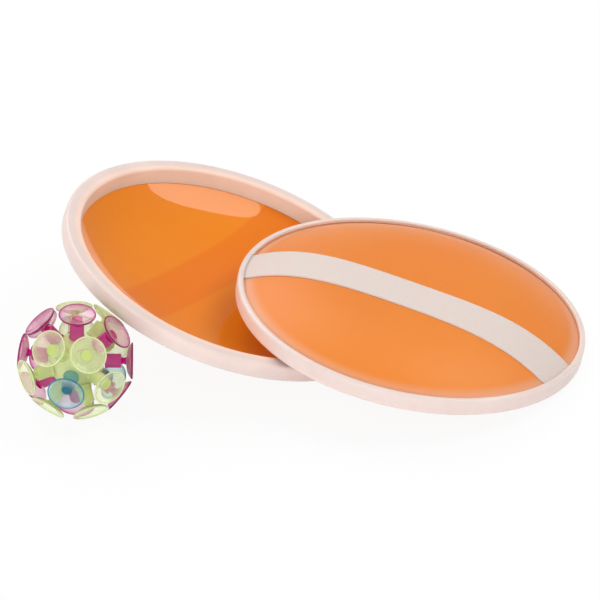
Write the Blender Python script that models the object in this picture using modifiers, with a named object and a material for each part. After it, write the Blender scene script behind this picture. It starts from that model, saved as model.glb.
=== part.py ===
"""Suction catch ball set: two strapped catch discs and a ball of suckers, at rest on a table.

Units are metres and +Z is up. The table is z = 0 and the set is centred on the origin.
The left disc lies on its domed back with the catch side up, tipped until its rim touches
the table. The right disc lies dome up, with one edge on the table and the other on the
left disc's rim. The ball stands in front of the left disc.
"""

import math

import bpy
import bmesh
import numpy as np
from mathutils import Matrix, Vector

# Disc: a moulded ring that holds a thin domed sheet.
DISC_RADIUS = 0.0950
RIM_HEIGHT = 0.0093
RIM_WALL = 0.0015
RIM_ROUND = 0.0017
RIM_FACE_WIDTH = 0.0090
RIM_SKIRT = 0.0010
BEAD_WIDTH = 0.0033
BEAD_HEIGHT = 0.0019
BEAD_ROUND = 0.0008

# Domed sheet of the disc.
SHEET_THICKNESS = 0.0012
DOME_DEPTH = 0.0168
DOME_POWER = 3.6

# Hand strap over the back of the disc.
STRAP_WIDTH = 0.0265
STRAP_THICKNESS = 0.0010
STRAP_OFFSET = 0.0165
POCKET_FLOOR = 0.0006

# Gap between pieces that touch on the real set.
FIT = 0.0003

# Where the discs lie: tip direction, strap direction about the disc's axis, and the step
# from the left disc's centre to the right disc's.
LEFT_TIP_TOWARDS = math.radians(-3.7)
LEFT_STRAP_TURN = math.radians(57.0)
RIGHT_TIP_TOWARDS = math.radians(7.7)
RIGHT_STRAP_TURN = math.radians(20.7)
RIGHT_STEP_X = 0.0944
RIGHT_STEP_Y = -0.0231

# Ball: suckers on a round core.
CORE_RADIUS = 0.0145
CUP_RADIUS = 0.0097
CUP_RIM_REACH = 0.0294
CUP_RIM_THICKNESS = 0.0006
CUP_HOLLOW = 0.0024
CUP_SKIN = 0.0011
NECK_RADIUS = 0.0017
NECK_LENGTH = 0.0025
BLOCK_RADIUS = 0.0037
BALL_TOWARDS = math.radians(-131.7)
BALL_VIEW_TILT = math.radians(31.5)

# Suckers that can be seen, as steps right, up and towards the viewer from the ball's centre.
SEEN_SEATS = (
    (-23.5, 12.0, 49.8),
    (15.0, 6.0, 54.0),
    (-7.0, -33.3, 45.0),
    (2.5, 46.0, 32.6),
    (-35.5, 39.0, 20.0),
    (42.5, 31.0, 20.5),
    (-55.2, 10.0, -6.0),
    (56.3, -3.5, -3.0),
    (-48.5, -19.0, 21.6),
    (35.5, -30.0, 33.0),
    (-4.0, 52.5, -20.0),
    (30.0, 46.5, -9.0),
    (-28.5, -45.0, 13.0),
    (19.5, -49.0, 14.0),
    (-3.0, -42.0, -37.0),
    (-45.0, -26.0, -22.0),
    (45.0, -34.0, -8.0),
)
SUCKER_COUNT = 23
SEAT_ROUNDS = 600
SEAT_HOLD = 14.0
SEAT_SPREAD = 0.67
SEAT_PUSH = 20
HIDDEN_FROM = -0.30

# Mesh steps.
RING_STEPS = 48
SUCKER_STEPS = 12
STRAP_STEPS = 24
SHEET_RINGS = 8

PARTS_NAME = "suction_catch_ball_set"


def rim_face_inner():
    """Inner radius of the ring's flat face."""
    return DISC_RADIUS - RIM_FACE_WIDTH


def sheet_seat_front():
    """Height of the groove's front wall below the disc's face."""
    return -(RIM_HEIGHT - BEAD_HEIGHT - SHEET_THICKNESS - 2.0 * FIT)


def sheet_back_flat():
    """Height of the sheet's back face at its clamped edge."""
    return sheet_seat_front() - FIT - SHEET_THICKNESS


def bead_radius():
    """Inner radius of the bead on the back of the ring."""
    return DISC_RADIUS - BEAD_WIDTH


def dome_edge():
    """Radius where the sheet leaves its flat clamped edge; the strap bends clear here."""
    return bead_radius() - 0.5 * (STRAP_THICKNESS + FIT) - 0.5 * FIT


def sheet_edge():
    """Outer radius of the sheet, inside the groove."""
    return DISC_RADIUS - RIM_WALL - FIT


def dome_drop(radius):
    """How far the sheet's back lies behind its clamped edge at a radius."""
    share = np.clip(np.asarray(radius, dtype=float) / dome_edge(), 0.0, 1.0)
    return DOME_DEPTH * (1.0 - share ** DOME_POWER)


def dome_slope(radius):
    """Slope of the sheet at a radius, as a ratio."""
    share = np.asarray(radius, dtype=float) / dome_edge()
    inside = share < 1.0
    return np.where(inside, DOME_DEPTH * DOME_POWER / dome_edge() * np.abs(share) ** (DOME_POWER - 1.0), 0.0)


def sheet_back(radius):
    """Height of the sheet's back face."""
    return sheet_back_flat() - dome_drop(radius)


def sheet_front(radius):
    """Height of the sheet's front face; the sheet is equally thick along its slope."""
    return sheet_back(radius) + SHEET_THICKNESS * np.sqrt(1.0 + dome_slope(radius) ** 2)


def arc(centre_r, centre_z, size, start, end, count):
    """Points on a round from one angle to another, in degrees from +radius towards +height."""
    turns = np.radians(np.linspace(start, end, count))
    return [(centre_r + size * math.cos(t), centre_z + size * math.sin(t)) for t in turns]


def ring_section():
    """Closed outline of the ring, from the crest over the outer wall to the inner wall."""
    points = []
    points.append((rim_face_inner() + RIM_ROUND, 0.0))
    points += arc(DISC_RADIUS - RIM_ROUND, -RIM_ROUND, RIM_ROUND, 90.0, 0.0, 4)
    points += arc(DISC_RADIUS - RIM_ROUND, -RIM_HEIGHT + RIM_ROUND, RIM_ROUND, 0.0, -90.0, 4)
    points.append((bead_radius() + BEAD_ROUND, -RIM_HEIGHT))
    points.append((bead_radius(), -RIM_HEIGHT + BEAD_ROUND))
    bead_top = sheet_back_flat() - FIT
    points.append((bead_radius(), bead_top))
    points.append((DISC_RADIUS - RIM_WALL, bead_top))
    points.append((DISC_RADIUS - RIM_WALL, sheet_seat_front()))
    inner_wall = rim_face_inner() - RIM_SKIRT
    for radius in np.linspace(dome_edge(), inner_wall, 4):
        stretch = math.sqrt(1.0 + float(dome_slope(radius)) ** 2)
        points.append((float(radius), float(sheet_front(radius)) + FIT * stretch))
    points.append((rim_face_inner(), -RIM_ROUND))
    points.append((rim_face_inner() + 0.3 * RIM_ROUND, -0.3 * RIM_ROUND))
    points.append(points[0])
    return points


def sheet_section():
    """Outline of the sheet from the axis on the front face to the axis on the back face."""
    shares = np.linspace(0.0, 1.0, SHEET_RINGS + 1)
    radii = dome_edge() * (1.0 - (1.0 - shares) ** 1.35)
    front = [(float(r), float(sheet_front(r))) for r in radii[:-1]]
    back = [(float(r), float(sheet_back(r))) for r in radii[:-1]]
    flat_front = sheet_back_flat() + SHEET_THICKNESS
    points = front + [(dome_edge(), flat_front), (sheet_edge(), flat_front)]
    points += [(sheet_edge(), sheet_back_flat()), (dome_edge(), sheet_back_flat())]
    return points + back[::-1]


def sucker_section():
    """Outline of one sucker: cup, neck and block, measured out from the ball's centre."""
    cup_floor = CUP_RIM_REACH - CUP_HOLLOW
    cup_back = cup_floor - CUP_SKIN
    neck_foot = cup_back - NECK_LENGTH
    return [
        (0.0, cup_floor),
        (0.50 * CUP_RADIUS, cup_floor + 0.20 * CUP_HOLLOW),
        (0.84 * CUP_RADIUS, cup_floor + 0.66 * CUP_HOLLOW),
        (CUP_RADIUS - 0.3 * CUP_RIM_THICKNESS, CUP_RIM_REACH),
        (CUP_RADIUS, CUP_RIM_REACH - CUP_RIM_THICKNESS),
        (0.84 * CUP_RADIUS, cup_back + 0.60 * CUP_HOLLOW),
        (0.50 * CUP_RADIUS, cup_back + 0.15 * CUP_HOLLOW),
        (NECK_RADIUS, cup_back),
        (NECK_RADIUS, neck_foot),
        (BLOCK_RADIUS, neck_foot - 0.3 * (BLOCK_RADIUS - NECK_RADIUS)),
        (BLOCK_RADIUS, CORE_RADIUS + FIT),
        (0.0, CORE_RADIUS + FIT),
    ]


def make_collection(name):
    """New collection linked to the scene."""
    collection = bpy.data.collections.new(name)
    bpy.context.scene.collection.children.link(collection)
    return collection


def make_material(name, rgba, roughness, metallic=0.0):
    """Principled material with the part's colour and finish."""
    material = bpy.data.materials.new(name)
    material.use_nodes = True
    shader = material.node_tree.nodes["Principled BSDF"]
    shader.inputs["Base Color"].default_value = rgba
    shader.inputs["Roughness"].default_value = roughness
    shader.inputs["Metallic"].default_value = metallic
    material.diffuse_color = rgba
    return material


def add_object(name, mesh, collection, parent, material):
    """Object in a collection, under its parent, shaded smooth up to sharp edges."""
    mesh.shade_smooth()
    mesh.set_sharp_from_angle(angle=math.radians(35.0))
    if material:
        mesh.materials.append(material)
    item = bpy.data.objects.new(name, mesh)
    collection.objects.link(item)
    item.parent = parent
    return item


def turned(name, section, steps, collection, parent, material):
    """Piece turned from an outline about its own Z axis."""
    shape = bmesh.new()
    corners = [shape.verts.new((r, 0.0, z)) for r, z in section]
    for first, second in zip(corners, corners[1:]):
        shape.edges.new((first, second))
    mesh = bpy.data.meshes.new(name)
    shape.to_mesh(mesh)
    shape.free()
    item = add_object(name, mesh, collection, parent, material)
    screw = item.modifiers.new("turn", "SCREW")
    screw.axis = "Z"
    screw.angle = 2.0 * math.pi
    screw.steps = steps
    screw.render_steps = steps
    screw.use_merge_vertices = True
    screw.merge_threshold = 0.00002
    screw.use_smooth_shade = True
    return item


def band_points(end_radius, width, across):
    """Grid over a strap-shaped band whose ends follow the ring: rows across, columns along."""
    rows = np.linspace(STRAP_OFFSET - width / 2.0, STRAP_OFFSET + width / 2.0, across)
    shares = np.sin(np.linspace(-0.5, 0.5, STRAP_STEPS + 1) * math.pi)
    half = np.sqrt(end_radius ** 2 - rows ** 2)
    along = half[:, None] * shares[None, :]
    return along, np.repeat(rows[:, None], along.shape[1], axis=1)


def strap_end_radius():
    """Radius at which the strap ends, inside the ring's outer wall."""
    return DISC_RADIUS - RIM_WALL - 2.0 * FIT


def strap(name, collection, parent, material):
    """Woven strap laid over the back of the sheet, its ends tucked under the bead."""
    along, rows = band_points(strap_end_radius(), STRAP_WIDTH, 5)
    radius = np.hypot(along, rows)
    slope = dome_slope(radius)
    lift = FIT * np.sqrt(1.0 + slope ** 2)
    height = sheet_back(radius) - lift
    across, count = along.shape
    shape = bmesh.new()
    grid = []
    for i in range(across):
        grid.append([shape.verts.new((along[i, j], rows[i, j], height[i, j])) for j in range(count)])
    for i in range(across - 1):
        for j in range(count - 1):
            shape.faces.new((grid[i][j], grid[i + 1][j], grid[i + 1][j + 1], grid[i][j + 1]))
    mesh = bpy.data.meshes.new(name)
    shape.to_mesh(mesh)
    shape.free()
    item = add_object(name, mesh, collection, parent, material)
    solid = item.modifiers.new("thickness", "SOLIDIFY")
    solid.thickness = STRAP_THICKNESS
    solid.offset = 1.0
    solid.use_even_offset = False
    return item


def outline_prism(name, outline, low, high, collection, parent):
    """Closed prism over a flat outline, between two heights."""
    curve = bpy.data.curves.new(name, "CURVE")
    curve.dimensions = "2D"
    curve.fill_mode = "BOTH"
    curve.extrude = (high - low) / 2.0
    line = curve.splines.new("POLY")
    line.points.add(len(outline) - 1)
    for point, (x, y) in zip(line.points, outline):
        point.co = (x, y, 0.0, 1.0)
    line.use_cyclic_u = True
    source = bpy.data.objects.new(name + "_outline", curve)
    collection.objects.link(source)
    bpy.context.view_layer.update()
    graph = bpy.context.evaluated_depsgraph_get()
    mesh = bpy.data.meshes.new_from_object(source.evaluated_get(graph))
    shape = bmesh.new()
    shape.from_mesh(mesh)
    bmesh.ops.remove_doubles(shape, verts=shape.verts, dist=0.000001)
    bmesh.ops.recalc_face_normals(shape, faces=shape.faces)
    shape.to_mesh(mesh)
    shape.free()
    bpy.data.objects.remove(source)
    item = bpy.data.objects.new(name, mesh)
    collection.objects.link(item)
    item.parent = parent
    item.location = (0.0, 0.0, (low + high) / 2.0)
    item.hide_render = True
    item.display_type = "WIRE"
    return item


def pocket_outline(side):
    """Flat outline of the pocket that takes one end of the strap."""
    outer = DISC_RADIUS - RIM_WALL + 0.5 * FIT
    inner = 0.5 * (bead_radius() + dome_edge())
    low = STRAP_OFFSET - STRAP_WIDTH / 2.0 - FIT
    high = STRAP_OFFSET + STRAP_WIDTH / 2.0 + FIT
    rows = np.linspace(low, high, 6)
    far = [(side * math.sqrt(outer ** 2 - y ** 2), float(y)) for y in rows]
    near = [(side * math.sqrt(inner ** 2 - y ** 2), float(y)) for y in rows]
    return far + near[::-1]


def build_disc(prefix, empty, parts, cutters, finish):
    """One catch disc: ring, sheet and strap, in the disc's own frame."""
    ring = turned(prefix + "_rim", ring_section(), RING_STEPS, parts, empty, finish["rim"])
    low = -RIM_HEIGHT + POCKET_FLOOR
    high = sheet_back_flat() - 0.5 * FIT
    for label, side in (("a", -1.0), ("b", 1.0)):
        name = prefix + "_strap_pocket_" + label
        cutter = outline_prism(name, pocket_outline(side), low, high, cutters, empty)
        cut = ring.modifiers.new("pocket_" + label, "BOOLEAN")
        cut.operation = "DIFFERENCE"
        cut.solver = "EXACT"
        cut.object = cutter
    turned(prefix + "_dish", sheet_section(), RING_STEPS, parts, empty, finish["sheet"])
    strap(prefix + "_strap", parts, empty, finish["strap"])


def tipped_frame(tip, towards, face_down):
    """Rotation of a disc tipped in a direction; a face-down disc has its catch side below."""
    normal = Vector((math.sin(tip) * math.cos(towards), math.sin(tip) * math.sin(towards), math.cos(tip)))
    side = Vector((1.0, 0.0, 0.0)) - normal * normal.x
    side.normalize()
    back = normal.cross(side)
    if face_down:
        back = -back
        normal = -normal
    rotation = Matrix((side, back, normal)).transposed()
    return rotation


def section_outlines():
    """Ring and sheet outlines as arrays, both closed."""
    ring = np.array(ring_section())
    sheet = np.array(sheet_section())
    sheet = np.vstack([sheet, sheet[:1]])
    return ring, sheet


def signed_gap(points, outline):
    """Distance of points in the section plane to an outline, negative inside it."""
    start = outline[:-1]
    step = outline[1:] - start
    length = np.maximum((step ** 2).sum(1), 1e-18)
    offset = points[:, None, :] - start[None, :, :]
    share = np.clip((offset * step).sum(2) / length, 0.0, 1.0)
    nearest = offset - share[:, :, None] * step
    gap = np.sqrt((nearest ** 2).sum(2)).min(1)
    z = points[:, 1][:, None]
    crosses = (start[:, 1] > z) != (outline[1:, 1] > z)
    rise = np.where(np.abs(step[:, 1]) < 1e-15, 1e-15, step[:, 1])
    x_cross = start[:, 0] + (z - start[:, 1]) / rise * step[:, 0]
    inside = (crosses & (points[:, 0][:, None] < x_cross)).sum(1) % 2 == 1
    return np.where(inside, -gap, gap)


def section_corners(outline, spacing):
    """Outline with extra points, so that long straight runs are sampled too."""
    rows = []
    for first, second in zip(outline[:-1], outline[1:]):
        count = max(1, int(math.ceil(float(np.hypot(*(second - first))) / spacing)))
        for k in range(count):
            rows.append(first + (second - first) * (k / count))
    return np.array(rows)


def turned_points(outline, rotation, centre, count):
    """World points on the surface that an outline sweeps about a disc's axis."""
    turns = np.linspace(0.0, 2.0 * math.pi, count, endpoint=False)
    r = outline[:, 0][:, None]
    z = outline[:, 1][:, None] * np.ones_like(turns)
    local = np.stack([r * np.cos(turns), r * np.sin(turns), z], -1).reshape(-1, 3)
    return local @ np.array(rotation).T + np.array(centre)


def disc_gap(rotation_a, centre_a, rotation_b, centre_b):
    """Smallest gap between two discs, each tested against the other's section."""
    best = 1.0
    pairs = ((rotation_a, centre_a, rotation_b, centre_b), (rotation_b, centre_b, rotation_a, centre_a))
    for rotation, centre, other, other_centre in pairs:
        for outline in section_outlines():
            world = turned_points(section_corners(outline, 0.004), rotation, centre, 240)
            local = (world - np.array(other_centre)) @ np.array(other)
            flat = np.stack([np.hypot(local[:, 0], local[:, 1]), local[:, 2]], -1)
            near = (flat[:, 0] < DISC_RADIUS * 1.1) & (flat[:, 1] < RIM_HEIGHT)
            near &= flat[:, 1] > sheet_back(0.0) - RIM_HEIGHT
            if near.any():
                for other_outline in section_outlines():
                    best = min(best, float(signed_gap(flat[near], other_outline).min()))
    return best


def halve(test, low, high, rounds=26):
    """Value between two limits where a rising test turns from false to true."""
    for _ in range(rounds):
        middle = 0.5 * (low + high)
        if test(middle):
            high = middle
        else:
            low = middle
    return high


def lowest(outline, tip, face_down):
    """Lowest point of an outline on the side that a disc tips to."""
    height = -outline[:, 1] if face_down else outline[:, 1]
    return float((height * math.cos(tip) - outline[:, 0] * math.sin(tip)).min())


def left_rest():
    """Tip and centre height of the left disc: dome and rim both touch the table."""
    ring, sheet = section_outlines()
    tip = halve(lambda t: lowest(ring, t, False) < lowest(sheet, t, False), 0.02, 0.9)
    return tip, -min(lowest(ring, tip, False), lowest(sheet, tip, False))


def right_rest(left_rotation, left_centre):
    """Tip and centre of the right disc: one edge on the table, the other on the left rim."""
    ring, _ = section_outlines()

    def placed(tip):
        rotation = tipped_frame(tip, RIGHT_TIP_TOWARDS, True)
        height = -lowest(ring, tip, True)
        return rotation, Vector((left_centre[0] + RIGHT_STEP_X, left_centre[1] + RIGHT_STEP_Y, height))

    def clear(tip):
        rotation, centre = placed(tip)
        return disc_gap(left_rotation, left_centre, rotation, centre) > FIT

    return placed(halve(clear, 0.02, 0.8, 16))


def seat_directions():
    """Directions of the suckers: the seen ones stay near where they are seen, the rest
    spread evenly over the free part of the ball by pushing each other away."""
    seen = np.array(SEEN_SEATS)
    seen /= np.linalg.norm(seen, axis=1)[:, None]
    free = SUCKER_COUNT - len(seen)
    steps = np.arange(free) + 0.5
    turn = steps * math.pi * (3.0 - math.sqrt(5.0))
    depth = HIDDEN_FROM - (1.0 + HIDDEN_FROM) * steps / free
    ring = np.sqrt(1.0 - depth ** 2)
    hidden = np.stack([ring * np.cos(turn), ring * np.sin(turn), depth], -1)
    seats = np.vstack([seen, hidden])
    for round_index in range(SEAT_ROUNDS):
        away = seats[:, None, :] - seats[None, :, :]
        distance = np.sqrt((away ** 2).sum(2)) + np.eye(len(seats)) * 9.0
        push = (away / distance[:, :, None] * (SEAT_SPREAD / distance[:, :, None]) ** SEAT_PUSH).sum(1)
        push[:len(seen)] += SEAT_HOLD * (seen - seats[:len(seen)])
        size = np.sqrt((push ** 2).sum(1))[:, None]
        step = 0.03 * (1.0 - round_index / SEAT_ROUNDS) + 0.0005
        seats = seats + push / np.maximum(size, 1.0) * step
        seats /= np.linalg.norm(seats, axis=1)[:, None]
    tilt = BALL_VIEW_TILT
    right = np.array((1.0, 0.0, 0.0))
    up = np.array((0.0, math.sin(tilt), math.cos(tilt)))
    near = np.array((0.0, -math.cos(tilt), math.sin(tilt)))
    return seats[:, :1] * right + seats[:, 1:2] * up + seats[:, 2:] * near


def ball_reach():
    """Radius of the round on which the suckers' rims lie."""
    return math.hypot(CUP_RIM_REACH, CUP_RADIUS)


def ball_centre(left_rotation, left_centre, seats):
    """The ball stands on its lowest suckers, just clear of the left disc's rim."""
    down = -seats[:, 2]
    drop = CUP_RIM_REACH * down + CUP_RADIUS * np.sqrt(1.0 - down ** 2)
    height = float(drop.max())
    ring, _ = section_outlines()
    rotation = np.array(left_rotation)

    def placed(distance):
        x = left_centre[0] + distance * math.cos(BALL_TOWARDS)
        y = left_centre[1] + distance * math.sin(BALL_TOWARDS)
        return Vector((x, y, height))

    def clear(distance):
        local = (np.array(placed(distance)) - np.array(left_centre)) @ rotation
        flat = np.array([[math.hypot(local[0], local[1]), local[2]]])
        return float(signed_gap(flat, ring)[0]) > ball_reach() + FIT

    return placed(halve(clear, DISC_RADIUS, DISC_RADIUS + 2.0 * ball_reach()))


def make_empty(name, collection, parent, rotation, centre):
    """Empty that carries a group of pieces."""
    empty = bpy.data.objects.new(name, None)
    collection.objects.link(empty)
    empty.parent = parent
    empty.matrix_local = Matrix.Translation(centre) @ rotation.to_4x4()
    return empty


def build_ball(empty, parts, finish, seats):
    """Core and suckers, each sucker pointing out along its own direction."""
    shape = bmesh.new()
    bmesh.ops.create_uvsphere(shape, u_segments=20, v_segments=12, radius=CORE_RADIUS)
    mesh = bpy.data.meshes.new("ball_core")
    shape.to_mesh(mesh)
    shape.free()
    add_object("ball_core", mesh, parts, empty, finish["lime"])
    colours = sucker_colours(len(seats))
    for index, seat in enumerate(seats):
        name = "ball_sucker_%02d" % (index + 1)
        piece = turned(name, sucker_section(), SUCKER_STEPS, parts, empty, finish[colours[index]])
        piece.rotation_mode = "QUATERNION"
        piece.rotation_quaternion = Vector(seat).to_track_quat("Z", "Y")


def sucker_colours(count):
    """Colours in seat order: seen ones as they are, the hidden ones in turn."""
    seen = ["lime", "lime", "turquoise", "magenta", "magenta", "magenta", "magenta", "magenta"]
    seen += ["lime", "lime", "lime", "lime", "lime", "lime", "magenta", "magenta", "magenta"]
    cycle = ("lime", "magenta", "turquoise")
    return [seen[i] if i < len(seen) else cycle[(i - len(seen)) % len(cycle)] for i in range(count)]


def centre_on_origin(empty, parts):
    """Move the whole set so that its box is centred on the origin and stands on the table."""
    bpy.context.view_layer.update()
    graph = bpy.context.evaluated_depsgraph_get()
    lows = []
    highs = []
    for item in parts.objects:
        if item.type != "MESH":
            continue
        ready = item.evaluated_get(graph)
        mesh = ready.to_mesh()
        flat = np.zeros(len(mesh.vertices) * 3, dtype=np.float32)
        mesh.vertices.foreach_get("co", flat)
        place = np.array(item.matrix_world)
        world = flat.reshape(-1, 3).astype(float) @ place[:3, :3].T + place[:3, 3]
        lows.append(world.min(0))
        highs.append(world.max(0))
        ready.to_mesh_clear()
    low = np.min(lows, axis=0)
    high = np.max(highs, axis=0)
    empty.location = (-(low[0] + high[0]) / 2.0, -(low[1] + high[1]) / 2.0, -low[2])
    bpy.context.view_layer.update()


def main():
    """Build the whole set."""
    for item in list(bpy.data.objects):
        bpy.data.objects.remove(item, do_unlink=True)
    parts = make_collection(PARTS_NAME)
    cutters = make_collection("cutters")
    finish = {
        "rim": make_material("frosted_white_plastic", (0.86, 0.78, 0.74, 1.0), 0.35),
        "sheet": make_material("clear_orange_plastic", (0.86, 0.22, 0.03, 1.0), 0.12),
        "strap": make_material("white_woven_elastic", (0.76, 0.70, 0.66, 1.0), 0.85),
        "lime": make_material("lime_soft_rubber", (0.50, 0.72, 0.16, 1.0), 0.25),
        "magenta": make_material("magenta_soft_rubber", (0.48, 0.0, 0.19, 1.0), 0.25),
        "turquoise": make_material("turquoise_soft_rubber", (0.0, 0.28, 0.40, 1.0), 0.25),
    }
    still = Matrix.Identity(3)
    whole = make_empty("set_frame", parts, None, still, Vector((0.0, 0.0, 0.0)))
    tip, height = left_rest()
    left_rotation = tipped_frame(tip, LEFT_TIP_TOWARDS, False)
    left_centre = Vector((0.0, 0.0, height))
    right_rotation, right_centre = right_rest(left_rotation, left_centre)
    seats = seat_directions()
    ball = ball_centre(left_rotation, left_centre, seats)
    left_spin = Matrix.Rotation(LEFT_STRAP_TURN, 3, "Z")
    right_spin = Matrix.Rotation(RIGHT_STRAP_TURN, 3, "Z")
    left = make_empty("left_disc_frame", parts, whole, left_rotation @ left_spin, left_centre)
    right = make_empty("right_disc_frame", parts, whole, right_rotation @ right_spin, right_centre)
    ball_frame = make_empty("ball_frame", parts, whole, still, ball)
    build_disc("left", left, parts, cutters, finish)
    build_disc("right", right, parts, cutters, finish)
    build_ball(ball_frame, parts, finish, seats)
    centre_on_origin(whole, parts)


main()
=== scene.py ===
"""Looks of the suction catch ball set: two strapped catch discs and a ball of suction cups.

Sizes in the classes are millimetres in a piece's own frame. Every mesh is placed in metres in
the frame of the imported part, with its object at the origin.
"""
import logging
import math
from dataclasses import dataclass, field
from enum import Enum

import bpy
import numpy as np
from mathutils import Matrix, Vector


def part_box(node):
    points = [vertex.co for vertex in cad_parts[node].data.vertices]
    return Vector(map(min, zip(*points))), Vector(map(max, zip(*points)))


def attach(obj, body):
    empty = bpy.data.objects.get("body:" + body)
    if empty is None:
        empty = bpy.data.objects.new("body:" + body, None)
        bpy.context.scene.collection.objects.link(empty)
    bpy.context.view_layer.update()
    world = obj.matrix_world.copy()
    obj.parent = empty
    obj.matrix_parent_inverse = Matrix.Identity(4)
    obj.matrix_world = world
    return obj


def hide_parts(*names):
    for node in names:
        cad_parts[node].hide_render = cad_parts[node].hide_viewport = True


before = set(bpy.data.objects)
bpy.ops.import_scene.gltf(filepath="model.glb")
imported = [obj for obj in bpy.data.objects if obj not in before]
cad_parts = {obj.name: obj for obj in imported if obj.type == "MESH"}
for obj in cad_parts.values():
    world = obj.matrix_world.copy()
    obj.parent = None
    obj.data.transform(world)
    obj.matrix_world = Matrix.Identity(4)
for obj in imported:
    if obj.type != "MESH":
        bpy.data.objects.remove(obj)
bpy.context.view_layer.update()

MM = 0.001
TAU = 2.0 * math.pi
BODY = "root"
NOISE_SPAN = (0.3, 0.7)  # Most values of a noise lie between these.
WAVE_TURN = 20.0  # Radians that a wave texture of scale 1 runs through in one unit.
WHITE = (1.0, 1.0, 1.0, 1.0)
SHARP_FROM = 38.0  # Edges that turn by more degrees than this are sharp.
CLEAREST = -0.1  # Depth of colour of a cup's skin over its neck.
NECK_DEPTH = 0.7  # Depth of colour of a neck and of the core.
log = logging.getLogger("suction_catch_ball_set")


# ---------------------------------------------------------------- colours and shader nodes


def linear(colour: str) -> tuple[float, float, float, float]:
    """Turns an sRGB hex colour into linear light.

    Args:
        colour: Six hex digits after a hash.

    Returns:
        Red, green and blue in linear light, and an alpha of 1.
    """
    parts = [int(colour[i:i + 2], 16) / 255.0 for i in (1, 3, 5)]
    light = [c / 12.92 if c <= 0.04045 else ((c + 0.055) / 1.055) ** 2.4 for c in parts]
    return (light[0], light[1], light[2], 1.0)


def add_node(
    tree: bpy.types.NodeTree,
    kind: str,
    values: dict | None = None,
    links: dict | None = None,
    **settings: object,
) -> bpy.types.Node:
    """Adds one shader node with its settings and links.

    Args:
        tree: Node tree that gets the node.
        kind: Type of the node.
        values: Input socket to its fixed value.
        links: Input socket to the node and output that feed it.
        settings: Properties of the node itself.

    Returns:
        The new node.
    """
    made = tree.nodes.new(kind)
    for name, setting in settings.items():
        setattr(made, name, setting)
    for socket, value in (values or {}).items():
        made.inputs[socket].default_value = value
    for socket, (source, output) in (links or {}).items():
        tree.links.new(source.outputs[output], made.inputs[socket])
    return made


def new_material(name: str) -> tuple[bpy.types.Material, bpy.types.NodeTree]:
    """Makes an empty node material.

    Args:
        name: Name of the real material.

    Returns:
        The material and its node tree.
    """
    material = bpy.data.materials.new(name)
    material.use_nodes = True
    material.node_tree.nodes.clear()
    return material, material.node_tree


def end_material(
    tree: bpy.types.NodeTree, shader: bpy.types.Node, inside: bpy.types.Node | None = None
) -> None:
    """Links a shader to the material's surface, and another to its inside if there is one.

    Args:
        tree: Node tree of the material.
        shader: Shader node whose first output is the surface.
        inside: Shader node whose first output is the volume.
    """
    links = {"Surface": (shader, 0)}
    if inside is not None:
        links["Volume"] = (inside, 0)
    add_node(tree, "ShaderNodeOutputMaterial", links=links)


def colour_steps(ramp_node: bpy.types.Node, steps: list[tuple[float, str]]) -> None:
    """Sets the stops of a colour ramp.

    Args:
        ramp_node: Colour ramp node.
        steps: Position and sRGB hex colour of each stop, in rising order.
    """
    ramp = ramp_node.color_ramp
    while len(ramp.elements) < len(steps):
        ramp.elements.new(0.5)
    for element, (position, colour) in zip(ramp.elements, steps):
        element.position = position
        element.color = linear(colour)


def noise(
    tree: bpy.types.NodeTree,
    place: bpy.types.Node,
    size_mm: float,
    detail: float,
    space: str = "Object",
) -> bpy.types.Node:
    """Adds a noise from the size of its cells.

    Args:
        tree: Node tree that gets the node.
        place: Texture coordinate node.
        size_mm: Size of a cell in millimetres.
        detail: Number of finer layers.
        space: Output of the coordinate node.

    Returns:
        The noise node.
    """
    return add_node(
        tree, "ShaderNodeTexNoise",
        values={"Scale": 1.0 / (size_mm * MM), "Detail": detail},
        links={"Vector": (place, space)},
    )


def remap(
    tree: bpy.types.NodeTree,
    source: tuple[bpy.types.Node, str],
    span: tuple[float, float],
    result: tuple[float, float],
    **settings: object,
) -> bpy.types.Node:
    """Adds a node that turns one span of values into another and stops at its ends.

    Args:
        tree: Node tree that gets the node.
        source: Node and output of the value.
        span: Values that the result's two ends stand for.
        result: First and last value of the result.
        settings: Properties of the node itself.

    Returns:
        The map range node.
    """
    return add_node(
        tree, "ShaderNodeMapRange",
        values={"From Min": span[0], "From Max": span[1], "To Min": result[0], "To Max": result[1]},
        links={"Value": source},
        **settings,
    )


def combine(
    tree: bpy.types.NodeTree,
    operation: str,
    first: tuple[bpy.types.Node, str],
    second: tuple[bpy.types.Node, str] | float,
) -> tuple[bpy.types.Node, str]:
    """Adds a math node of two values.

    Args:
        tree: Node tree that gets the node.
        operation: Operation of the math node.
        first: Node and output of the first value.
        second: Node and output of the second value, or a fixed number.

    Returns:
        The math node and its output.
    """
    links = {0: first}
    values = {}
    if isinstance(second, tuple):
        links[1] = second
    else:
        values[1] = second
    made = add_node(tree, "ShaderNodeMath", values=values, links=links, operation=operation)
    return made, "Value"


# ---------------------------------------------------------------- finishes


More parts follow.
